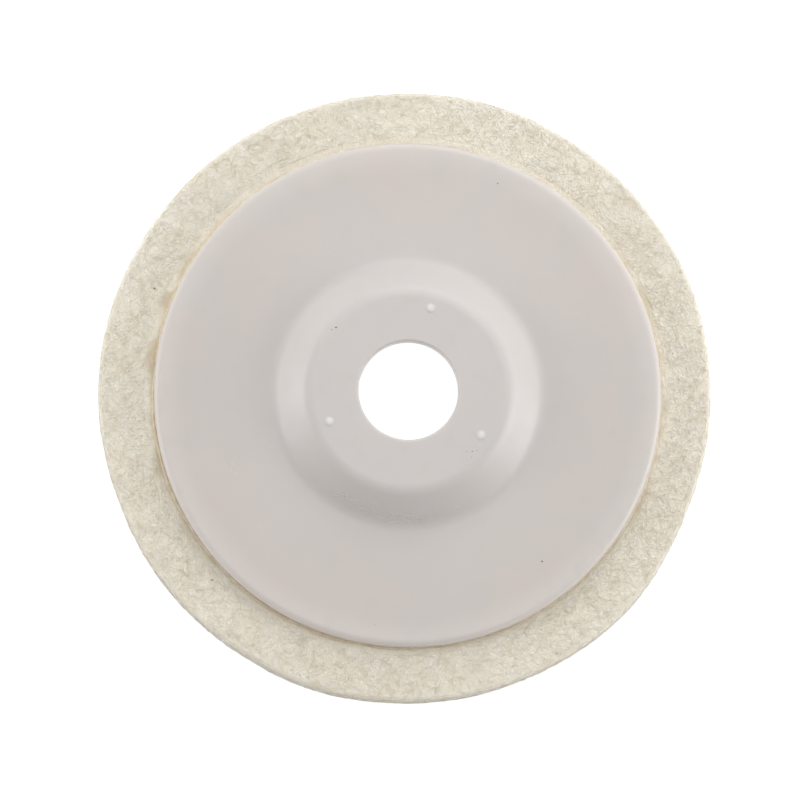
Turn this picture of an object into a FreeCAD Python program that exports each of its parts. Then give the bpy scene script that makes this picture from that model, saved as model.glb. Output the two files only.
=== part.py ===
import FreeCAD, Part
import math
import os

# Felt polishing wheel for a small angle grinder. The bore's axis is Z, the felt's working face lies
# on z = 0 and the plastic backing plate's hub points up, +Z. All lengths are in millimetres.

# Felt ring
FELT_DIAMETER = 100.0
FELT_HOLE_DIAMETER = 46.0
FELT_THICKNESS = 8.0
FELT_OUTER_EDGE_RADIUS = 0.6
FELT_INNER_EDGE_RADIUS = 0.5

# Adhesive between felt and plate, with the bead that is squeezed out round the plate's rim
FILM_THICKNESS = 0.4
BEAD_RADIUS = 0.4

# Moulded backing plate: a flat flange with a raised hub, hollow underneath for the lock nut
PLATE_DIAMETER = 82.8
FLANGE_THICKNESS = 2.2
RIM_RADIUS = 1.0
HUB_FOOT_DIAMETER = 43.4
HUB_TOP_DIAMETER = 33.2
HUB_RISE = 4.5
WEB_THICKNESS = 3.0
HUB_FOOT_FILLET = 2.5
HUB_TOP_FILLET = 3.0
RECESS_MOUTH_FILLET = 1.2
RECESS_ROOF_FILLET = 1.0

# Spindle bore, for a 16 mm flange boss
BORE_DIAMETER = 16.2
BORE_EDGE_RADIUS = 0.3

# Three low gate marks that moulding leaves on the hub's top
GATE_MARK_DIAMETER = 1.4
GATE_MARK_HEIGHT = 0.2
GATE_MARK_PITCH_RADIUS = 13.9
GATE_MARK_ANGLES = (75.0, 202.0, 328.0)

# Levels and places that follow from the sizes above
PLATE_UNDERSIDE = FELT_THICKNESS + FILM_THICKNESS
FLANGE_TOP = PLATE_UNDERSIDE + FLANGE_THICKNESS
HUB_TOP = FLANGE_TOP + HUB_RISE
RECESS_ROOF = HUB_TOP - WEB_THICKNESS
SLOPE_RUN = (HUB_FOOT_DIAMETER - HUB_TOP_DIAMETER) / 2
SLOPE_LENGTH = math.hypot(SLOPE_RUN, HUB_RISE)


def unit(vector):
    """The vector at length one."""
    return vector * (1.0 / vector.Length)


def corner_bend(before, corner, after, radius):
    """Start, middle and end of the arc that rounds a corner tangent to its two sides."""
    to_before = unit(before - corner)
    to_after = unit(after - corner)
    half_angle = to_before.getAngle(to_after) / 2
    reach = radius / math.tan(half_angle)
    middle = corner + unit(to_before + to_after) * (radius / math.sin(half_angle) - radius)
    return corner + to_before * reach, middle, corner + to_after * reach


def turned(corners):
    """Solid of revolution about Z from a closed section of (radius, height, fillet) corners."""
    points = [FreeCAD.Vector(radius, 0, height) for radius, height, _ in corners]
    bends = []
    for index, (_, _, fillet) in enumerate(corners):
        after = points[(index + 1) % len(points)]
        bends.append(corner_bend(points[index - 1], points[index], after, fillet))
    edges = []
    for index, (start, middle, end) in enumerate(bends):
        edges.append(Part.LineSegment(bends[index - 1][2], start).toShape())
        if corners[index][2]:
            edges.append(Part.Arc(start, middle, end).toShape())
    section = Part.Face(Part.Wire(edges))
    return section.revolve(FreeCAD.Vector(), FreeCAD.Vector(0, 0, 1), 360)


def felt_ring():
    """Pressed felt annulus, soft at its edges."""
    outer = FELT_DIAMETER / 2
    inner = FELT_HOLE_DIAMETER / 2
    return turned([
        (inner, 0, FELT_INNER_EDGE_RADIUS),
        (outer, 0, FELT_OUTER_EDGE_RADIUS),
        (outer, FELT_THICKNESS, FELT_OUTER_EDGE_RADIUS),
        (inner, FELT_THICKNESS, 0),
    ])


def adhesive_layer():
    """Film on the felt's back, ending in a quarter-round bead against the plate's rim."""
    inner = FELT_HOLE_DIAMETER / 2
    rim = PLATE_DIAMETER / 2
    film = turned([
        (inner, FELT_THICKNESS, 0),
        (rim, FELT_THICKNESS, 0),
        (rim, PLATE_UNDERSIDE, 0),
        (inner, PLATE_UNDERSIDE, 0),
    ])
    corner = FreeCAD.Vector(rim, 0, FELT_THICKNESS)
    foot = corner + FreeCAD.Vector(BEAD_RADIUS, 0, 0)
    crest = corner + FreeCAD.Vector(0, 0, BEAD_RADIUS)
    shoulder = corner + FreeCAD.Vector(BEAD_RADIUS, 0, BEAD_RADIUS) * math.sqrt(0.5)
    outline = Part.Wire([
        Part.LineSegment(corner, foot).toShape(),
        Part.Arc(foot, shoulder, crest).toShape(),
        Part.LineSegment(crest, corner).toShape(),
    ])
    bead = Part.Face(outline).revolve(FreeCAD.Vector(), FreeCAD.Vector(0, 0, 1), 360)
    return film.fuse(bead).removeSplitter()


def gate_mark(angle):
    """Ball that stands out of the hub's top as one low dome, sunk in the web below."""
    ball_radius = (GATE_MARK_DIAMETER ** 2 / 4 + GATE_MARK_HEIGHT ** 2) / (2 * GATE_MARK_HEIGHT)
    turn = math.radians(angle)
    centre = FreeCAD.Vector(
        GATE_MARK_PITCH_RADIUS * math.cos(turn),
        GATE_MARK_PITCH_RADIUS * math.sin(turn),
        HUB_TOP + GATE_MARK_HEIGHT - ball_radius,
    )
    return Part.makeSphere(ball_radius, centre)


def backing_plate():
    """Flange and hub of even wall thickness, with the bore through the hub's web."""
    slope_gradient = SLOPE_RUN / HUB_RISE
    wall_across = FLANGE_THICKNESS * SLOPE_LENGTH / HUB_RISE
    mouth = HUB_FOOT_DIAMETER / 2 - wall_across + FLANGE_THICKNESS * slope_gradient
    roof = mouth - (RECESS_ROOF - PLATE_UNDERSIDE) * slope_gradient
    bore = BORE_DIAMETER / 2
    rim = PLATE_DIAMETER / 2
    plate = turned([
        (bore, RECESS_ROOF, BORE_EDGE_RADIUS),
        (roof, RECESS_ROOF, RECESS_ROOF_FILLET),
        (mouth, PLATE_UNDERSIDE, RECESS_MOUTH_FILLET),
        (rim, PLATE_UNDERSIDE, 0),
        (rim, FLANGE_TOP, RIM_RADIUS),
        (HUB_FOOT_DIAMETER / 2, FLANGE_TOP, HUB_FOOT_FILLET),
        (HUB_TOP_DIAMETER / 2, HUB_TOP, HUB_TOP_FILLET),
        (bore, HUB_TOP, BORE_EDGE_RADIUS),
    ])
    return plate.fuse([gate_mark(angle) for angle in GATE_MARK_ANGLES]).removeSplitter()


os.makedirs("parts", exist_ok=True)
for make_piece in (felt_ring, adhesive_layer, backing_plate):
    make_piece().Solids[0].exportStep(f"parts/{make_piece.__name__}.step")
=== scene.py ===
import itertools
import math
import bpy
import numpy as np
from mathutils import Matrix, Vector


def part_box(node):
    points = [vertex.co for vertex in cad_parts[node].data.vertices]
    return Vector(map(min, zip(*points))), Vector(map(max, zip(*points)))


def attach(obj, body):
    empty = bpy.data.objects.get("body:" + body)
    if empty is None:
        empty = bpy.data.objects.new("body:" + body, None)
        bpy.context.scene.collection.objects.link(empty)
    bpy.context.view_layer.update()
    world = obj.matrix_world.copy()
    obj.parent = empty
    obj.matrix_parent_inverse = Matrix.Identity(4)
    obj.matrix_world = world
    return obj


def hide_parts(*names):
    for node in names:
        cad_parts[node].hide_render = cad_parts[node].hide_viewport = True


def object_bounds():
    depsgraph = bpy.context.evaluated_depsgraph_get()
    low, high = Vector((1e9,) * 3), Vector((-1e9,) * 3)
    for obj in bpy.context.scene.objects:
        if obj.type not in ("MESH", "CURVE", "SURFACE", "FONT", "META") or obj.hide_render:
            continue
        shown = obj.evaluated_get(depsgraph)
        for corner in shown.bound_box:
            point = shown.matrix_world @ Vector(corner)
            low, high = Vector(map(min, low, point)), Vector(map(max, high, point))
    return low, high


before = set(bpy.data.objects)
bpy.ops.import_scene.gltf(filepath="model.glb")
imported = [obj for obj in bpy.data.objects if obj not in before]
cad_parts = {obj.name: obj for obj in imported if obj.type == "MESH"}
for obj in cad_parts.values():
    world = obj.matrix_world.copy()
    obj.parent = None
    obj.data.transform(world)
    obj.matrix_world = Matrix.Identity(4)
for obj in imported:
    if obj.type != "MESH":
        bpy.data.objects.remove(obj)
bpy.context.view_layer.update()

# Lengths below are in millimetres and are turned into metres as each mesh is made. Z is the bore's
# axis, the felt's working face lies on z = 0 and the moulded plate's hub points up.
MM = 0.001
TINY = 1e-9


def node_box(node):
    """A CAD node's lowest and highest corners in millimetres."""
    low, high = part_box(node)
    return np.array(low) / MM, np.array(high) / MM


def hole_radius(node):
    """The radius of a CAD node's central hole in millimetres: its innermost vertex."""
    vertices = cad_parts[node].data.vertices
    return min(math.hypot(v.co.x, v.co.y) for v in vertices) / MM


FELT_HIGH = node_box("felt_ring")[1]
PLATE_LOW, PLATE_HIGH = node_box("backing_plate")
FELT_RADIUS = FELT_HIGH[0]
FELT_TOP = FELT_HIGH[2]
FELT_HOLE = hole_radius("felt_ring")
PLATE_RADIUS = PLATE_HIGH[0]
PLATE_UNDERSIDE = PLATE_LOW[2]
BORE_RADIUS = hole_radius("backing_plate")

# The plate's section
GATE_MARK_HEIGHT = 0.2
HUB_TOP = PLATE_HIGH[2] - GATE_MARK_HEIGHT
HUB_RISE = 4.5
FLANGE_THICKNESS = 2.2
FLANGE_TOP = HUB_TOP - HUB_RISE
WEB_THICKNESS = 3.0
HUB_FOOT_RADIUS = 21.7
HUB_TOP_RADIUS = 16.6
GATE_MARK_RADIUS = 0.7
GATE_MARK_PITCH_RADIUS = 13.9
GATE_MARK_ANGLES = (75.0, 202.0, 328.0)

# ---------------------------------------------------------------------------------------------
# Noise and sections
# ---------------------------------------------------------------------------------------------


def lattice_value(cells, seed):
    """A repeatable random number from -1 to 1 for each whole-number lattice corner."""
    mixed = cells[..., 0] * 374761393 + cells[..., 1] * 668265263 + cells[..., 2] * 2147483629
    mixed = mixed + seed * 974711
    mixed = (mixed ^ (mixed >> 13)) * 1274126177
    mixed = (mixed ^ (mixed >> 16)) & 0xFFFFFF
    return mixed / 0x7FFFFF - 1.0


def noise(points, size, seed):
    """Smooth noise from -1 to 1 at each point, with lumps about as large as size."""
    scaled = points / size
    corner = np.floor(scaled).astype(np.int64)
    part = scaled - corner
    blend = part * part * (3 - 2 * part)
    total = np.zeros(points.shape[:-1])
    for offset in itertools.product((0, 1), repeat=3):
        weight = np.prod(np.where(np.array(offset) == 1, blend, 1 - blend), axis=-1)
        total += weight * lattice_value(corner + np.array(offset), seed)
    return total


def rounded_section(corners, spacing):
    """Closed outline of (radius, height) points through (radius, height, fillet, spacing) corners."""
    points = [np.array(corner[:2], float) for corner in corners]
    bends = []
    for index, corner in enumerate(corners):
        before = points[index - 1] - points[index]
        after = points[(index + 1) % len(points)] - points[index]
        before /= np.linalg.norm(before)
        after /= np.linalg.norm(after)
        half = math.acos(np.clip(before @ after, -1, 1)) / 2
        fillet = corner[2]
        if not fillet:
            bends.append([points[index]])
            continue
        inward = (before + after) / np.linalg.norm(before + after)
        centre = points[index] + inward * fillet / math.sin(half)
        start = points[index] + before * fillet / math.tan(half) - centre
        sweep = math.pi - 2 * half
        side = 1.0 if before[1] * after[0] > before[0] * after[1] else -1.0
        steps = max(4, round(sweep * fillet / min(spacing, fillet / 4)))
        arc = []
        for turn in np.linspace(0, sweep, steps + 1) * side:
            cosine, sine = math.cos(turn), math.sin(turn)
            arc.append(centre + [start[0] * cosine - start[1] * sine,
                                 start[0] * sine + start[1] * cosine])
        bends.append(arc)
    outline = []
    for index, bend in enumerate(bends):
        outline.extend(bend)
        run = bends[(index + 1) % len(bends)][0] - bend[-1]
        steps = max(1, round(np.linalg.norm(run) / (corners[index][3] or spacing)))
        outline.extend(bend[-1] + run * step / steps for step in range(1, steps))
    return np.array(outline)


class Lathe:
    """A closed section turned about Z, whose surface can be read at any place along the section."""

    def __init__(self, outline, shape):
        self.outline = outline
        self.shape = shape
        closed = np.vstack([outline, outline[:1]])
        steps = np.linalg.norm(np.diff(closed, axis=0), axis=1)
        self.along = np.concatenate([[0], np.cumsum(steps)])
        self.closed = closed
        tangent = np.roll(outline, -1, axis=0) - np.roll(outline, 1, axis=0)
        tangent /= np.linalg.norm(tangent, axis=1)[:, None]
        normal = np.stack([tangent[:, 1], -tangent[:, 0]], axis=1)
        self.normals = np.vstack([normal, normal[:1]])

    def points(self, along, turn, lift=0.0):
        """Points on the finished surface, or lift millimetres out from it."""
        along = np.mod(along, self.along[-1])
        radius = np.interp(along, self.along, self.closed[:, 0])
        height = np.interp(along, self.along, self.closed[:, 1])
        out = np.interp(along, self.along, self.normals[:, 0])
        up = np.interp(along, self.along, self.normals[:, 1])
        plain = np.stack([radius * np.cos(turn), radius * np.sin(turn), height], axis=-1)
        direction = np.stack([out * np.cos(turn), out * np.sin(turn), up], axis=-1)
        return self.shape(plain, direction, lift)

    def along_top(self, radius):
        """The place along the section, on the side that faces up, at each radius."""
        upward = self.normals[:, 1] > 0.2
        return np.interp(-radius, -self.closed[upward, 0], self.along[upward])

    def mesh(self, name, segments):
        """A mesh object of the whole turned surface. The number of segments is even."""
        turn = np.arange(segments) * math.tau / segments
        along, turn = np.meshgrid(self.along[:-1], turn)
        vertices = self.points(along, turn)
        rows, columns = along.shape
        index = np.arange(rows * columns).reshape(rows, columns)
        index = np.vstack([index, index[:1]])
        index = np.hstack([index, index[:, :1]])
        quads = np.stack([index[:-1, :-1], index[1:, :-1], index[1:, 1:], index[:-1, 1:]], axis=-1)
        half, step = np.divmod(np.arange(segments), segments // 2)
        start = np.broadcast_to((step / (segments // 2))[:, None], along.shape)
        end = np.broadcast_to(((step + 1) / (segments // 2))[:, None], along.shape)
        share = self.along / self.along[-1] * 0.49 + 0.005
        low = share[None, :-1] + half[:, None] * 0.5
        high = share[None, 1:] + half[:, None] * 0.5
        layout = np.stack([np.stack([start, low], axis=-1), np.stack([end, low], axis=-1),
                           np.stack([end, high], axis=-1), np.stack([start, high], axis=-1)], axis=2)
        return mesh_object(name, vertices.reshape(-1, 3), quads.reshape(-1, 4).tolist(), layout)


def mesh_object(name, vertices, faces, layout=None):
    """A smooth-shaded mesh object from points in millimetres. Layout is each face corner's place
    when the surface is laid out flat, from 0 to 1 both ways."""
    mesh = bpy.data.meshes.new(name)
    mesh.from_pydata((np.asarray(vertices) * MM).tolist(), [], faces)
    mesh.shade_smooth()
    if layout is not None:
        flat = mesh.uv_layers.new(name="OFBake")
        flat.data.foreach_set("uv", np.ascontiguousarray(layout, dtype=np.float32).ravel())
    piece = bpy.data.objects.new(name, mesh)
    bpy.context.scene.collection.objects.link(piece)
    return piece


def tubes(name, centre, outward, thick):
    """Closed three-sided tapering tubes along rows of centre points."""
    count, rings = centre.shape[:2]
    sides = 3
    forward = np.gradient(centre, axis=1)
    forward /= np.linalg.norm(forward, axis=2)[..., None] + TINY
    across = np.cross(forward, outward)
    across /= np.linalg.norm(across, axis=2)[..., None] + TINY
    outward = np.cross(across, forward)
    around = np.arange(sides) * math.tau / sides
    ring = across[:, :, None] * np.cos(around)[:, None] + outward[:, :, None] * np.sin(around)[:, None]
    vertices = centre[:, :, None] + ring * thick[:, :, None, None]
    base = np.arange(count)[:, None, None] * rings * sides
    row = np.arange(rings - 1)[:, None] * sides
    column = np.arange(sides)
    following = (column + 1) % sides
    quads = np.stack([
        base + row + column,
        base + row + following,
        base + row + sides + following,
        base + row + sides + column,
    ], axis=-1).reshape(-1, 4)
    first = (np.arange(count) * rings * sides)[:, None]
    caps = np.concatenate([first + column[::-1], first + (rings - 1) * sides + column])
    # Each tube lies flat in a square of its own
    across_sheet = math.ceil(math.sqrt(count))
    down, right = np.divmod(np.arange(count), across_sheet)
    square = np.stack([right, down], axis=-1)[:, None, None, None] + 0.1
    near, far = row[None] / (rings * sides), (row[None] + sides) / (rings * sides)
    left, side = column / sides, (column + 1) / sides
    near, far, left, side = np.broadcast_arrays(near, far, left, side)
    corners = np.stack([np.stack([near, left], -1), np.stack([near, side], -1),
                        np.stack([far, side], -1), np.stack([far, left], -1)], axis=-2)
    wall = (square + 0.8 * corners) / across_sheet
    cap = np.broadcast_to(square[:, 0, :, :1] + 0.4, (count, 1, sides, 2)) / across_sheet
    layout = np.concatenate([wall.reshape(-1, 2), cap.reshape(-1, 2), cap.reshape(-1, 2)])
    return mesh_object(name, vertices.reshape(-1, 3), quads.tolist() + caps.tolist(), layout)


def strokes(name, surface, marks, lift):
    """Fine curved strands on the upper side of a turned surface. Each mark is its middle's radius
    and angle, its heading, bend, length and width."""
    radius, angle, heading, bend, length, width = np.array(marks, float).T[:, :, None]
    share = np.linspace(-0.5, 0.5, 8)
    heading = np.radians(heading) + np.radians(bend) * share
    step = length / (len(share) - 1)
    run = [np.cumsum(way(heading) * step, axis=1) for way in (np.cos, np.sin)]
    x = radius * np.cos(np.radians(angle)) + run[0] - run[0].mean(axis=1, keepdims=True)
    y = radius * np.sin(np.radians(angle)) + run[1] - run[1].mean(axis=1, keepdims=True)
    along = surface.along_top(np.hypot(x, y))
    turn = np.arctan2(y, x)
    height = lift * np.cos(math.pi * share) + np.zeros_like(x)
    centre = surface.points(along, turn, height)
    outward = surface.points(along, turn, height + 0.05) - centre
    thick = width / 2 * (1 - 0.8 * np.abs(2 * share) ** 3)
    return tubes(name, centre, outward, thick)


def specks(name, surface, spots, seed):
    """Small angular lumps sunk by half in a turned surface's upper side, at (radius, angle, size)."""
    draw = np.random.default_rng(seed)
    radius, angle, size = np.array(spots, float).T
    turn = np.radians(angle)
    centre = surface.points(surface.along_top(radius), turn, 0.0)
    rows, columns = 5, 8
    polar = np.linspace(0, math.pi, rows + 2)[1:-1, None]
    azimuth = np.arange(columns) * math.tau / columns
    belt = np.stack([np.sin(polar) * np.cos(azimuth), np.sin(polar) * np.sin(azimuth),
                     np.cos(polar) + 0 * azimuth], axis=-1).reshape(-1, 3)
    ball = np.vstack([belt, [[0, 0, 1], [0, 0, -1]]])
    squash = np.stack([draw.uniform(0.7, 1.3, len(size)), draw.uniform(0.7, 1.3, len(size)),
                       draw.uniform(0.4, 0.6, len(size))], axis=-1)
    rough = draw.uniform(0.75, 1.15, (len(size), len(ball), 1))
    vertices = centre[:, None] + ball * squash[:, None] * rough * (size / 2)[:, None, None]
    faces = []
    for lump in range(len(size)):
        base = lump * len(ball)
        for column in range(columns):
            after = (column + 1) % columns
            for row in range(rows - 1):
                upper, lower = base + row * columns, base + (row + 1) * columns
                faces.append((upper + column, lower + column, lower + after, upper + after))
            faces.append((base + len(belt), base + column, base + after))
            last = base + (rows - 1) * columns
            faces.append((base + len(belt) + 1, last + after, last + column))
    return mesh_object(name, vertices.reshape(-1, 3), faces)


# ---------------------------------------------------------------------------------------------
# Camera, light and floor
# ---------------------------------------------------------------------------------------------
CAMERA_DISTANCE = 1.3
CAMERA_ELEVATION = 82.8
CAMERA_LEAN = 260.0
CAMERA_LENS = 358.0
AIM_POINT = Vector((-1.22, -0.75, FELT_TOP)) * MM


def add_camera():
    """A long lens that looks almost along the bore, with +Y up in the picture."""
    data = bpy.data.cameras.new("camera")
    data.lens = CAMERA_LENS
    data.sensor_width = 36.0
    data.clip_start = 0.01
    camera = bpy.data.objects.new("camera", data)
    bpy.context.scene.collection.objects.link(camera)
    lean, elevation = math.radians(CAMERA_LEAN), math.radians(CAMERA_ELEVATION)
    back = Vector((math.cos(lean) * math.cos(elevation),
                   math.sin(lean) * math.cos(elevation),
                   math.sin(elevation)))
    right = Vector((0, 1, 0)).cross(back).normalized()
    up = back.cross(right)
    camera.matrix_world = Matrix.LocRotScale(
        AIM_POINT + back * CAMERA_DISTANCE,
        Matrix((right, up, back)).transposed().to_quaternion(),
        None,
    )
    bpy.context.scene.camera = camera


LAMP_COLOUR = (0.985, 0.995, 1.0)
FLOOR_REACH = 9000.0
WORLD_STRENGTH = 0.405
SOFTBOX_DISTANCE = 0.9
SOFTBOX_SIZE = 0.5
# Each: name, azimuth and elevation in degrees, power in watts
SOFTBOXES = (
    ("right", -12.0, 15.0, 4.2),
    ("left", 180.0, 15.0, 3.5),
    ("behind", 78.0, 28.0, 3.1),
    ("overhead", 80.0, 66.0, 2.15),
)


def add_softbox(name, azimuth, elevation, distance, size, power):
    """A square soft light aimed at the wheel. Azimuth is counted from +X towards +Y."""
    data = bpy.data.lights.new(name, "AREA")
    data.shape = "SQUARE"
    data.size = size
    data.energy = power
    data.color = LAMP_COLOUR
    light = bpy.data.objects.new(name, data)
    light.visible_camera = False
    bpy.context.scene.collection.objects.link(light)
    turn, rise = math.radians(azimuth), math.radians(elevation)
    back = Vector((math.cos(turn) * math.cos(rise), math.sin(turn) * math.cos(rise), math.sin(rise)))
    light.location = back * distance
    light.rotation_mode = "QUATERNION"
    light.rotation_quaternion = back.to_track_quat("Z", "Y")


def add_world(strength):
    """An even, nearly white surround."""
    world = bpy.data.worlds.new("studio")
    world.use_nodes = True
    background = world.node_tree.nodes["Background"]
    background.inputs["Color"].default_value = (1.0, 0.970, 0.935, 1.0)
    background.inputs["Strength"].default_value = strength
    bpy.context.scene.world = world


# ---------------------------------------------------------------------------------------------
# Materials
# ---------------------------------------------------------------------------------------------


class Nodes:
    """Short calls for wiring a material's nodes."""

    def __init__(self, name):
        self.material = bpy.data.materials.new(name)
        self.material.use_nodes = True
        self.tree = self.material.node_tree
        self.shader = self.tree.nodes["Principled BSDF"]
        self.place = self.tree.nodes.new("ShaderNodeTexCoord").outputs["Object"]

    def add(self, kind, **settings):
        node = self.tree.nodes.new("ShaderNode" + kind)
        for key, value in settings.items():
            setattr(node, key, value)
        return node

    def join(self, source, target):
        self.tree.links.new(source, target)

    def stretched(self, scale, turn=(0, 0, 0)):
        """The object's coordinates turned, then scaled differently each way."""
        mapping = self.add("Mapping")
        mapping.vector_type = "TEXTURE"
        mapping.inputs["Rotation"].default_value = turn
        mapping.inputs["Scale"].default_value = scale
        self.join(self.place, mapping.inputs["Vector"])
        return mapping.outputs["Vector"]

    def noise(self, size, detail=2.0, roughness=0.5, vector=None, distortion=0.0):
        """Noise from 0 to 1 with lumps about as large as size in millimetres."""
        node = self.add("TexNoise")
        node.inputs["Scale"].default_value = 1.0 / (size * MM)
        node.inputs["Detail"].default_value = detail
        node.inputs["Roughness"].default_value = roughness
        node.inputs["Distortion"].default_value = distortion
        self.join(vector or self.place, node.inputs["Vector"])
        return node.outputs["Fac"]

    def maths(self, operation, first, second=None, clamp=False):
        node = self.add("Math", operation=operation, use_clamp=clamp)
        for socket, value in zip(node.inputs, (first, second)):
            if isinstance(value, (int, float)):
                socket.default_value = value
            elif value is not None:
                self.join(value, socket)
        return node.outputs[0]

    def span(self, value, low, high, to_low=0.0, to_high=1.0, smooth=True):
        """Maps low..high to to_low..to_high, held at both ends."""
        node = self.add("MapRange", interpolation_type="SMOOTHSTEP" if smooth else "LINEAR")
        self.join(value, node.inputs["Value"])
        for key, number in (("From Min", low), ("From Max", high),
                            ("To Min", to_low), ("To Max", to_high)):
            node.inputs[key].default_value = number
        return node.outputs[0]

    def mix(self, share, first, second):
        """Colour mix. Each colour is a socket or three numbers."""
        node = self.add("Mix", data_type="RGBA")
        for socket, value in ((node.inputs[0], share), (node.inputs[6], first), (node.inputs[7], second)):
            if isinstance(value, (int, float)):
                socket.default_value = value
            elif isinstance(value, tuple):
                socket.default_value = (*value, 1.0)
            else:
                self.join(value, socket)
        return node.outputs[2]

    def bump(self, height, distance, strength=1.0, below=None):
        """Bump of the given depth in millimetres, on top of another bump if one is given."""
        node = self.add("Bump")
        node.inputs["Strength"].default_value = strength
        node.inputs["Distance"].default_value = distance * MM
        self.join(height, node.inputs["Height"])
        if below is not None:
            self.join(below, node.inputs["Normal"])
        return node.outputs["Normal"]

    def axis_parts(self):
        """Distance from the bore's axis, and x, y and z, all in millimetres."""
        split = self.add("SeparateXYZ")
        self.join(self.place, split.inputs[0])
        x, y, z = (self.maths("DIVIDE", split.outputs[i], MM) for i in range(3))
        radius = self.maths("SQRT", self.maths("ADD", self.maths("MULTIPLY", x, x),
                                               self.maths("MULTIPLY", y, y)))
        return radius, x, y, z

    def finish(self, **sockets):
        for key, value in sockets.items():
            socket = self.shader.inputs[key.replace("_", " ")]
            if isinstance(value, (int, float)):
                socket.default_value = value
            elif isinstance(value, tuple):
                socket.default_value = value
            else:
                self.join(value, socket)
        return self.material


def floor_material():
    """Pale studio table lit from within a little, so that it stays white under the wheel."""
    nodes = Nodes("pale_floor")
    grain = nodes.noise(40.0, detail=3.0)
    colour = nodes.mix(grain, (0.22, 0.22, 0.22), (0.25, 0.25, 0.25))
    nodes.shader.inputs["Emission Color"].default_value = (1.0, 1.0, 1.0, 1.0)
    return nodes.finish(Base_Color=colour, Roughness=0.9, Emission_Strength=0.92)


def plastic_material():
    """White moulded plastic: faint warm and cool mottle, fine rubbing marks, satin gloss, and a painted
    highlight that lightens it towards the rim.
    """
    nodes = Nodes("moulded_plastic")
    radius, x, y, z = nodes.axis_parts()
    cloud = nodes.noise(12.0, detail=2.0, roughness=0.5)
    patch = nodes.noise(3.2, detail=2.0, roughness=0.5)
    outer = nodes.mix(nodes.span(cloud, 0.38, 0.62), (0.606, 0.552, 0.524), (0.592, 0.558, 0.536))
    tone = nodes.mix(nodes.span(radius, HUB_TOP_RADIUS, 38.0), (0.610, 0.580, 0.565), outer)
    # Painted highlight: the plastic lightens towards the rim, standing in for light on the rounded rim.
    painted_rim_highlight = nodes.span(radius, PLATE_RADIUS - 5.0, PLATE_RADIUS - 0.8, 0.0, 0.45)
    tone = nodes.mix(painted_rim_highlight, tone, (0.690, 0.650, 0.625))
    tone = nodes.mix(nodes.span(patch, 0.55, 0.75, 0.0, 0.35), tone, (0.585, 0.555, 0.535))
    hairlines = nodes.noise(0.35, detail=1.0, vector=nodes.stretched((0.35, 14.0, 1.0), (0, 0, 0.35)))
    cross = nodes.noise(0.30, detail=1.0, vector=nodes.stretched((0.35, 11.0, 1.0), (0, 0, -1.05)))
    rubbed = nodes.maths("MAXIMUM", nodes.span(hairlines, 0.70, 0.80), nodes.span(cross, 0.72, 0.82))
    rubbed = nodes.maths("MULTIPLY", rubbed, nodes.span(nodes.noise(7.0, detail=1.0), 0.50, 0.70))
    tone = nodes.mix(nodes.maths("MULTIPLY", rubbed, 0.40), tone, (0.72, 0.69, 0.67))
    tone = nodes.mix(nodes.maths("MULTIPLY", gate_spots(nodes, x, y, z), 0.75), tone, (0.78, 0.765, 0.755))
    roughness = nodes.span(patch, 0.3, 0.7, 0.40, 0.50)
    roughness = nodes.maths("ADD", roughness, nodes.maths("MULTIPLY", rubbed, 0.15))
    orange_peel = nodes.noise(1.1, detail=2.0, roughness=0.6)
    bump = nodes.bump(orange_peel, 0.012)
    bump = nodes.bump(nodes.maths("MULTIPLY", rubbed, -1.0), 0.02, below=bump)
    return nodes.finish(
        Base_Color=tone,
        Roughness=roughness,
        Normal=bump,
        IOR=1.49,
        Subsurface_Weight=0.25,
        Subsurface_Radius=(2.2, 2.0, 1.8),
        Subsurface_Scale=MM,
    )


def gate_spots(nodes, x, y, z):
    """From 0 to 1 where the moulding gates left whitened points on the hub's top."""
    spots = None
    for angle in GATE_MARK_ANGLES:
        centre_x = GATE_MARK_PITCH_RADIUS * math.cos(math.radians(angle))
        centre_y = GATE_MARK_PITCH_RADIUS * math.sin(math.radians(angle))
        away_x = nodes.maths("SUBTRACT", x, centre_x)
        away_y = nodes.maths("SUBTRACT", y, centre_y)
        away = nodes.maths("SQRT", nodes.maths("ADD", nodes.maths("MULTIPLY", away_x, away_x),
                                               nodes.maths("MULTIPLY", away_y, away_y)))
        spot = nodes.span(away, 0.1, 1.4 * GATE_MARK_RADIUS, 1.0, 0.0)
        spots = spot if spots is None else nodes.maths("MAXIMUM", spots, spot)
    return nodes.maths("MULTIPLY", spots, nodes.span(z, HUB_TOP - 0.8, HUB_TOP - 0.4))


def matted_fibres(nodes):
    """Height from 0 to 1 of fibres matted together in every direction across all three axes."""
    height = None
    layers = ((0.2, 0.0, 0.3), (1.2, 0.5, -0.4), (2.3, -0.4, 0.5), (-0.7, 0.9, 0.9), (0.6, -1.1, 1.7))
    for turn in layers:
        strand = nodes.noise(0.15, detail=1.0, vector=nodes.stretched((1.0, 6.0, 1.0), turn))
        strand = nodes.span(strand, 0.54, 0.68)
        height = strand if height is None else nodes.maths("MAXIMUM", height, strand)
    return height


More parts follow.
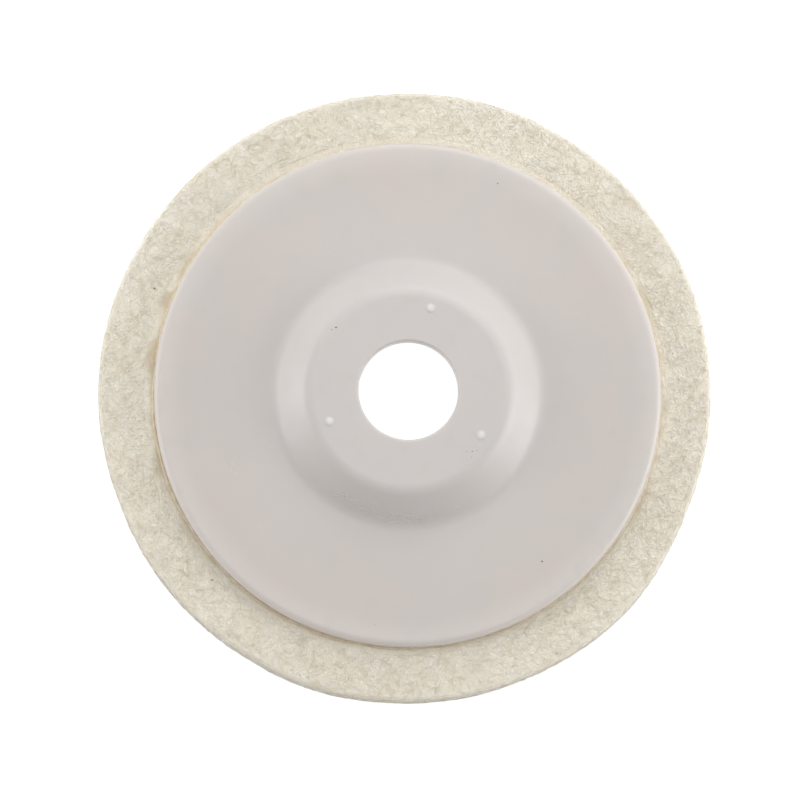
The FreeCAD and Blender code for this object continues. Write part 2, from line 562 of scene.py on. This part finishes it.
def felt_tone(nodes):
    """Cream wool colour with darker flecks, a tan glue stain beside the plate's rim whose darkness is
    partly painted shade, and painted shade low on the outer wall.

    The stain and its painted shade are strongest towards -X and weakest towards +Y and -Y.
    """
    radius, x, y, z = nodes.axis_parts()
    cloud = nodes.noise(3.0, detail=2.0, roughness=0.5)
    fleck = nodes.noise(0.42, detail=2.0, roughness=0.6)
    tone = nodes.mix(nodes.span(cloud, 0.35, 0.65), (0.975, 0.910, 0.775), (0.985, 0.940, 0.825))
    tone = nodes.mix(nodes.span(fleck, 0.50, 0.72, 0.0, 0.30), tone, (0.790, 0.730, 0.590))
    # Tan glue stain beside the plate's rim; part of its darkness is painted shade from the rim, leaning
    # towards -X.
    wander = nodes.noise(4.5, detail=2.0, roughness=0.6)
    reach = nodes.maths("ADD", radius, nodes.span(wander, 0.2, 0.8, 1.4, -1.4, smooth=False))
    glue_stain_and_shade = nodes.span(reach, PLATE_RADIUS + 0.1, PLATE_RADIUS + 1.7, 1.0, 0.0)
    side = nodes.span(nodes.maths("DIVIDE", x, -PLATE_RADIUS), -1.0, 0.8, 0.7, 1.0)
    side = nodes.maths("MULTIPLY", side, nodes.span(y, 15.0, 38.0, 1.0, 0.15))
    side = nodes.maths("MULTIPLY", side, nodes.span(y, -36.0, -12.0, 0.2, 1.0))
    above = nodes.span(z, FELT_TOP - 1.2, FELT_TOP - 0.4)
    glue_stain_and_shade = nodes.maths("MULTIPLY", nodes.maths("MULTIPLY", glue_stain_and_shade, side), above)
    hue = nodes.span(nodes.noise(2.2, detail=1.0), 0.4, 0.6)
    glue_and_shade_tone = nodes.mix(hue, (0.68, 0.62, 0.43), (0.72, 0.60, 0.45))
    tone = nodes.mix(nodes.maths("MULTIPLY", glue_stain_and_shade, 0.95), tone, glue_and_shade_tone)
    # Painted shade: the outer wall turns greyer towards the floor, where contact shade falls.
    wall = nodes.maths("MULTIPLY", nodes.span(z, FELT_TOP - 2.2, FELT_TOP - 0.4, 0.6, 0.0),
                       nodes.span(radius, FELT_RADIUS - 1.2, FELT_RADIUS - 0.5))
    return nodes.mix(wall, tone, (0.50, 0.49, 0.42))


def felt_material():
    """Pressed wool felt, painted darker in the gaps between its matted fibres as shade."""
    nodes = Nodes("pressed_felt")
    fibres = matted_fibres(nodes)
    tone = felt_tone(nodes)
    # Painted shade: patches of the gaps between the matted fibres are darkened as if in shadow.
    patchy = nodes.span(nodes.noise(1.3, detail=2.0), 0.38, 0.62, 0.08, 0.40)
    painted_gap_shade = nodes.maths("MULTIPLY", nodes.span(fibres, 0.0, 0.7, 1.0, 0.0), patchy)
    shade = nodes.mix(painted_gap_shade, tone, (0.63, 0.59, 0.45))
    lumps = nodes.noise(0.6, detail=3.0, roughness=0.6)
    bump = nodes.bump(lumps, 0.05)
    bump = nodes.bump(fibres, 0.06, below=bump)
    return nodes.finish(
        Base_Color=shade,
        Roughness=nodes.span(lumps, 0.3, 0.7, 0.88, 1.0),
        Normal=bump,
        Specular_IOR_Level=0.15,
        Sheen_Weight=0.40,
        Sheen_Roughness=0.6,
    )


def fibre_material():
    """Single wool fibres, some paler than the felt that they lie on and some darker as painted shade."""
    nodes = Nodes("wool_fibre")
    streak = nodes.noise(1.1, detail=1.0)
    # Painted shade: the darker streaks stand in for fibres lying in shade.
    tone = nodes.mix(nodes.span(streak, 0.40, 0.66), (0.990, 0.960, 0.890), (0.80, 0.73, 0.59))
    # The felt's tone mixed in brings its glue stain and painted shade along.
    tone = nodes.mix(0.25, tone, felt_tone(nodes))
    return nodes.finish(
        Base_Color=tone,
        Roughness=nodes.span(streak, 0.3, 0.7, 0.55, 0.75),
        Specular_IOR_Level=0.3,
        Sheen_Weight=0.2,
    )


def glue_material():
    """Set contact adhesive: amber to olive, glossy, cloudy where felt fibres are caught in it."""
    nodes = Nodes("set_adhesive")
    cloud = nodes.noise(1.4, detail=3.0, roughness=0.6)
    tone = nodes.mix(nodes.span(cloud, 0.35, 0.65), (0.62, 0.50, 0.34), (0.74, 0.63, 0.48))
    bump = nodes.bump(nodes.noise(0.5, detail=2.0), 0.05)
    return nodes.finish(
        Base_Color=tone,
        Roughness=nodes.span(cloud, 0.3, 0.7, 0.30, 0.55),
        Normal=bump,
        Subsurface_Weight=0.3,
        Subsurface_Radius=(1.0, 0.8, 0.4),
        Subsurface_Scale=MM,
    )


def grit_material():
    """Dark polishing grit."""
    nodes = Nodes("dark_grit")
    cloud = nodes.noise(0.3, detail=2.0)
    tone = nodes.mix(cloud, (0.14, 0.12, 0.10), (0.30, 0.25, 0.19))
    return nodes.finish(Base_Color=tone, Roughness=nodes.span(cloud, 0.3, 0.7, 0.6, 0.9))


def burr_material():
    """Plastic whitened where it was scratched up."""
    nodes = Nodes("whitened_plastic")
    cloud = nodes.noise(0.8, detail=2.0)
    tone = nodes.mix(cloud, (0.74, 0.71, 0.69), (0.85, 0.83, 0.82))
    return nodes.finish(Base_Color=tone, Roughness=nodes.span(cloud, 0.3, 0.7, 0.45, 0.6))


# ---------------------------------------------------------------------------------------------
# Felt
# ---------------------------------------------------------------------------------------------
FELT_SHIFT = np.array([-0.26, 0.07, 0.0])
# How far the cut rim strays from a circle, and about how long each stray is, in millimetres
RIM_WANDER = 0.40
RIM_WANDER_LENGTH = 18.0


def felt_shape(plain, direction, lift):
    """Wanders the rim, then raises soft lumps along the surface's own direction."""
    turn = np.arctan2(plain[..., 1], plain[..., 0])
    radius = np.hypot(plain[..., 0], plain[..., 1])
    share = np.clip((radius - FELT_HOLE) / (FELT_RADIUS - FELT_HOLE), 0, 1)
    outward = np.stack([np.cos(turn), np.sin(turn), np.zeros_like(turn)], axis=-1)
    wander = RIM_WANDER * noise(outward * FELT_RADIUS, RIM_WANDER_LENGTH, 14)
    moved = plain + outward * (wander * share ** 2)[..., None] + FELT_SHIFT
    lumps = 0.045 * noise(plain, 5.0, 11) + 0.030 * noise(plain, 1.7, 12) + 0.025 * noise(plain, 0.7, 13)
    covered = (plain[..., 2] > FELT_TOP - 0.3) & (radius < PLATE_RADIUS)
    lumps = np.where(covered, -0.05, lumps - 0.02)
    return moved + direction * (lumps + lift)[..., None]


def felt_lathe():
    """The felt annulus: a dense grid where it shows, a coarse one where the plate covers it."""
    outline = rounded_section([
        (FELT_HOLE, 0.0, 0.5, 0.55),
        (FELT_RADIUS, 0.0, 0.7, 0.36),
        (FELT_RADIUS, FELT_TOP, 0.6, 0.30),
        (PLATE_RADIUS - 1.0, FELT_TOP, 0, 2.5),
        (FELT_HOLE, FELT_TOP, 0, 0.5),
    ], 0.36)
    return Lathe(outline, felt_shape)


def fibres(name, felt, span, count, length, width, lift, stray, seed):
    """Fine wool fibres lying in random curves on a stretch of the felt's section."""
    draw = np.random.default_rng(seed)
    rings = 6
    low, high = span
    along = np.linspace(low, high, 400)
    radius = np.interp(np.mod(along, felt.along[-1]), felt.along, felt.closed[:, 0])
    area = np.concatenate([[0], np.cumsum((radius[1:] + radius[:-1]) / 2)])
    start = np.interp(draw.random(count) * area[-1], area, along)
    turn = draw.random(count) * math.tau
    heading = draw.random(count) * math.tau
    bend = draw.normal(0, 1.1, count)
    size = np.clip(draw.lognormal(math.log(length), 0.45, count), length * 0.35, length * 2.6)
    share = np.linspace(0, 1, rings)
    angle = heading[:, None] + bend[:, None] * share
    step = size[:, None] / (rings - 1)
    here = np.interp(np.mod(start, felt.along[-1]), felt.along, felt.closed[:, 0])
    run_along = np.cumsum(np.sin(angle) * step, axis=1) - (np.sin(angle) * step)[:, :1]
    run_round = np.cumsum(np.cos(angle) * step, axis=1) - (np.cos(angle) * step)[:, :1]
    path_along = np.clip(start[:, None] + run_along, low, high)
    path_turn = turn[:, None] + run_round / here[:, None]
    arch = draw.uniform(0.2, 1.0, count) * lift
    tip = np.where(draw.random(count) < stray, draw.uniform(0.2, 1.0, count), 0.0) * lift * 3
    height = arch[:, None] * np.sin(math.pi * share) + tip[:, None] * share ** 2 + width * 0.2
    centre = felt.points(path_along, path_turn, height)
    outward = felt.points(path_along, path_turn, height + 0.05) - centre
    thick = width * draw.uniform(0.6, 1.4, count)[:, None] / 2 * (1 - 0.75 * np.abs(2 * share - 1) ** 3)
    return tubes(name, centre, outward, thick)


# ---------------------------------------------------------------------------------------------
# Backing plate
# ---------------------------------------------------------------------------------------------


def plate_shape(plain, direction, lift):
    """Slight moulding warp, and the three low gate marks on the hub's top."""
    x, y, z = plain[..., 0], plain[..., 1], plain[..., 2]
    on_top = direction[..., 2] > 0.3
    warp = 0.05 * noise(plain, 16.0, 31) + 0.012 * noise(plain, 5.0, 32)
    bulge = np.where(on_top, warp, 0.0)
    for angle in GATE_MARK_ANGLES:
        turn = math.radians(angle)
        centre = GATE_MARK_PITCH_RADIUS * np.array([math.cos(turn), math.sin(turn)])
        away = np.hypot(x - centre[0], y - centre[1]) / GATE_MARK_RADIUS
        dome = np.sqrt(np.clip(1 - away ** 2, 0, 1)) * GATE_MARK_HEIGHT
        bulge = bulge + np.where(on_top & (z > FLANGE_TOP + 1), dome, 0.0)
    return plain + direction * (bulge + lift)[..., None]


def plate_lathe():
    """The plate's whole section, even in wall thickness through the hub."""
    gradient = (HUB_FOOT_RADIUS - HUB_TOP_RADIUS) / HUB_RISE
    across = FLANGE_THICKNESS * math.hypot(HUB_FOOT_RADIUS - HUB_TOP_RADIUS, HUB_RISE) / HUB_RISE
    mouth = HUB_FOOT_RADIUS - across + FLANGE_THICKNESS * gradient
    recess_roof = HUB_TOP - WEB_THICKNESS
    roof = mouth - (recess_roof - PLATE_UNDERSIDE) * gradient
    outline = rounded_section([
        (BORE_RADIUS, recess_roof, 0.3, 0.5),
        (roof, recess_roof, 1.0, 0.5),
        (mouth, PLATE_UNDERSIDE, 1.2, 1.5),
        (PLATE_RADIUS, PLATE_UNDERSIDE, 0.15, 0.4),
        (PLATE_RADIUS, FLANGE_TOP, 1.0, 0.5),
        (HUB_FOOT_RADIUS, FLANGE_TOP, 2.5, 0.4),
        (HUB_TOP_RADIUS, HUB_TOP, 3.0, 0.16),
        (BORE_RADIUS, HUB_TOP, 0.3, 0.4),
    ], 0.35)
    return Lathe(outline, plate_shape)


# ---------------------------------------------------------------------------------------------
# Adhesive
# ---------------------------------------------------------------------------------------------
BEAD_SIZE = 0.4


def bead_shape(plain, direction, lift):
    """Swells and thins the squeezed-out bead round the rim."""
    radius = np.hypot(plain[..., 0], plain[..., 1])
    turn = np.arctan2(plain[..., 1], plain[..., 0])
    outside = np.clip((radius - PLATE_RADIUS) / BEAD_SIZE, 0, 1)
    ring = np.stack([np.cos(turn), np.sin(turn), np.zeros_like(turn)], axis=-1)
    swell = 0.5 * noise(ring * PLATE_RADIUS, 7.0, 41) + 0.3 * noise(ring * PLATE_RADIUS, 2.4, 42)
    side = 0.25 - 0.35 * np.cos(turn - math.radians(200.0))
    swell = np.clip(swell - side, -0.55, 0.75) * outside * BEAD_SIZE
    return plain + ring * swell[..., None] + direction * np.asarray(lift)[..., None]


def bead_lathe():
    """The adhesive film between felt and plate with its bead outside the rim."""
    outline = rounded_section([
        (FELT_HOLE + 0.2, FELT_TOP - 0.05, 0, 3.0),
        (PLATE_RADIUS + BEAD_SIZE, FELT_TOP - 0.10, 0.05, 0.1),
        (PLATE_RADIUS + 0.75 * BEAD_SIZE, FELT_TOP + 0.55 * BEAD_SIZE, 0.2, 0.1),
        (PLATE_RADIUS - 0.05, FELT_TOP + 1.1 * BEAD_SIZE, 0.1, 0.1),
        (PLATE_RADIUS - 0.05, PLATE_UNDERSIDE, 0, 3.0),
        (FELT_HOLE + 0.2, PLATE_UNDERSIDE, 0, 0.2),
    ], 0.1)
    return Lathe(outline, bead_shape)


# ---------------------------------------------------------------------------------------------
# Wear and dirt
# ---------------------------------------------------------------------------------------------
# Each: radius and angle of its middle, heading and bend in degrees, length and width
LOOSE_FIBRES = (
    (47.2, 81.0, 20.0, 35.0, 6.0, 0.080),
    (44.3, -55.0, 60.0, -50.0, 5.0, 0.080),
    (41.9, -93.0, -28.0, 12.0, 3.4, 0.085),
    (45.5, 35.0, -70.0, 60.0, 4.6, 0.075),
    (43.6, 118.0, 35.0, -70.0, 4.2, 0.075),
    (46.4, 171.0, 80.0, 55.0, 4.8, 0.075),
    (45.0, 236.0, -40.0, -45.0, 5.2, 0.080),
    (44.6, 318.0, 15.0, 80.0, 4.4, 0.075),
)
PLATE_SCRATCHES = (
    (31.2, 203.0, 78.0, 18.0, 2.0, 0.070),
    (30.8, 201.5, 48.0, -15.0, 1.3, 0.060),
    (31.1, 205.4, 112.0, 10.0, 1.1, 0.055),
    (33.3, -9.0, 91.0, 3.0, 3.0, 0.050),
    (35.2, -55.0, 88.0, -4.0, 2.4, 0.050),
    (34.4, 139.0, 95.0, 6.0, 2.6, 0.045),
)
PLATE_SPECKS = (
    (15.6, 139.0, 0.34), (15.9, 141.5, 0.16), (35.1, -51.5, 0.26), (37.7, 67.0, 0.24), (14.4, -44.0, 0.17),
    (15.0, -47.0, 0.12), (13.8, -46.5, 0.12), (14.9, -41.5, 0.13), (19.9, 239.0, 0.16), (27.0, 118.0, 0.13),
    (30.5, 24.0, 0.12), (24.2, 301.0, 0.12), (38.2, 262.0, 0.15), (33.0, 176.0, 0.12),
)


def felt_spots():
    """Two plain specks of grit in the felt and a scatter of finer ones."""
    draw = np.random.default_rng(63)
    fine = [(draw.uniform(42.5, 49.0), draw.uniform(0, 360), draw.uniform(0.08, 0.17)) for _ in range(26)]
    return [(44.6, 157.0, 0.42), (43.9, 224.0, 0.34), *fine]


# Each: middle angle and spread in degrees, radius, how many strokes, shortest and longest stroke
SCUFF_AREAS = (
    (239.5, 4.2, 19.9, 60, 0.3, 1.3),
    (265.0, 10.0, 20.6, 130, 0.3, 1.3),
    (-41.0, 3.0, 14.4, 9, 0.12, 0.3),
)


def hub_scuffs():
    """Short whitened strokes in two areas of the hub's slope, and a pitted patch on its top."""
    draw = np.random.default_rng(64)
    marks = []
    for middle, reach, radius, count, shortest, longest in SCUFF_AREAS:
        for _ in range(count):
            angle = middle + draw.normal(0, reach)
            heading = angle + 90.0 + draw.normal(0, 24.0)
            length = draw.uniform(shortest, longest)
            marks.append((radius + draw.normal(0, 0.5), angle, heading, draw.normal(0, 35.0), length,
                          draw.uniform(0.045, 0.085)))
    return tuple(marks)


# ---------------------------------------------------------------------------------------------
# Build
# ---------------------------------------------------------------------------------------------
def dress(piece, material, slot, *nodes):
    """Gives a piece its material, rides it on the root and stands it for CAD nodes. The slot is not used.
    """
    piece.data.materials.append(material)
    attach(piece, "root")
    if nodes:
        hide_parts(*nodes)
    return piece


bpy.context.scene.view_settings.view_transform = "Standard"
add_camera()
add_world(WORLD_STRENGTH)
for name, azimuth, elevation, power in SOFTBOXES:
    add_softbox(name, azimuth, elevation, SOFTBOX_DISTANCE, SOFTBOX_SIZE, power)

plate = plate_lathe()
felt = felt_lathe()
bead = bead_lathe()
wool = fibre_material()
grit = grit_material()
dress(plate.mesh("plate_moulding", 480), plastic_material(), "white_plastic", "backing_plate")
felt_body = dress(felt.mesh("felt_body", 730), felt_material(), "wool_felt", "felt_ring")
dress(bead.mesh("glue_bead", 720), glue_material(), "adhesive", "adhesive_layer")

# Places along the felt's section where each face of it starts and ends
working_end = FELT_RADIUS - FELT_HOLE
rim_end = working_end + FELT_TOP
back_end = rim_end + FELT_RADIUS - PLATE_RADIUS
hole_start = back_end + PLATE_RADIUS - FELT_HOLE
dress(fibres("felt_fibres_back", felt, (rim_end - 1.2, back_end - 1.6), 5800, 2.5, 0.065, 0.05, 0.10, 51),
      wool, "wool_felt")
dress(fibres("felt_fibres_rim", felt, (working_end - 1.2, rim_end - 0.6), 5200, 1.9, 0.055, 0.05, 0.12, 52),
      wool, "wool_felt")
dress(fibres("felt_fibres_face", felt, (0.5, working_end - 1.0), 5800, 2.6, 0.065, 0.04, 0.0, 53),
      wool, "wool_felt")
hole_band = (hole_start + 0.8, hole_start + FELT_TOP - 0.8)
dress(fibres("felt_fibres_hole", felt, hole_band, 2000, 1.9, 0.055, 0.05, 0.15, 54), wool, "wool_felt")
dress(strokes("felt_fibres_loose", felt, LOOSE_FIBRES, 0.12), wool, "wool_felt")
dress(specks("felt_specks", felt, felt_spots(), 61), grit, "wool_felt")
dress(specks("plate_specks", plate, PLATE_SPECKS, 62), grit, "white_plastic")
scratches = strokes("plate_scratches", plate, PLATE_SCRATCHES + hub_scuffs(), 0.005)
dress(scratches, burr_material(), "white_plastic")

floor_mesh = mesh_object("floor", FLOOR_REACH * np.array([[-1, -1, 0], [1, -1, 0], [1, 1, 0], [-1, 1, 0]]),
                         [(0, 1, 2, 3)])
floor_mesh.data.materials.append(floor_material())
floor_mesh.location.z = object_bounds()[0][2]
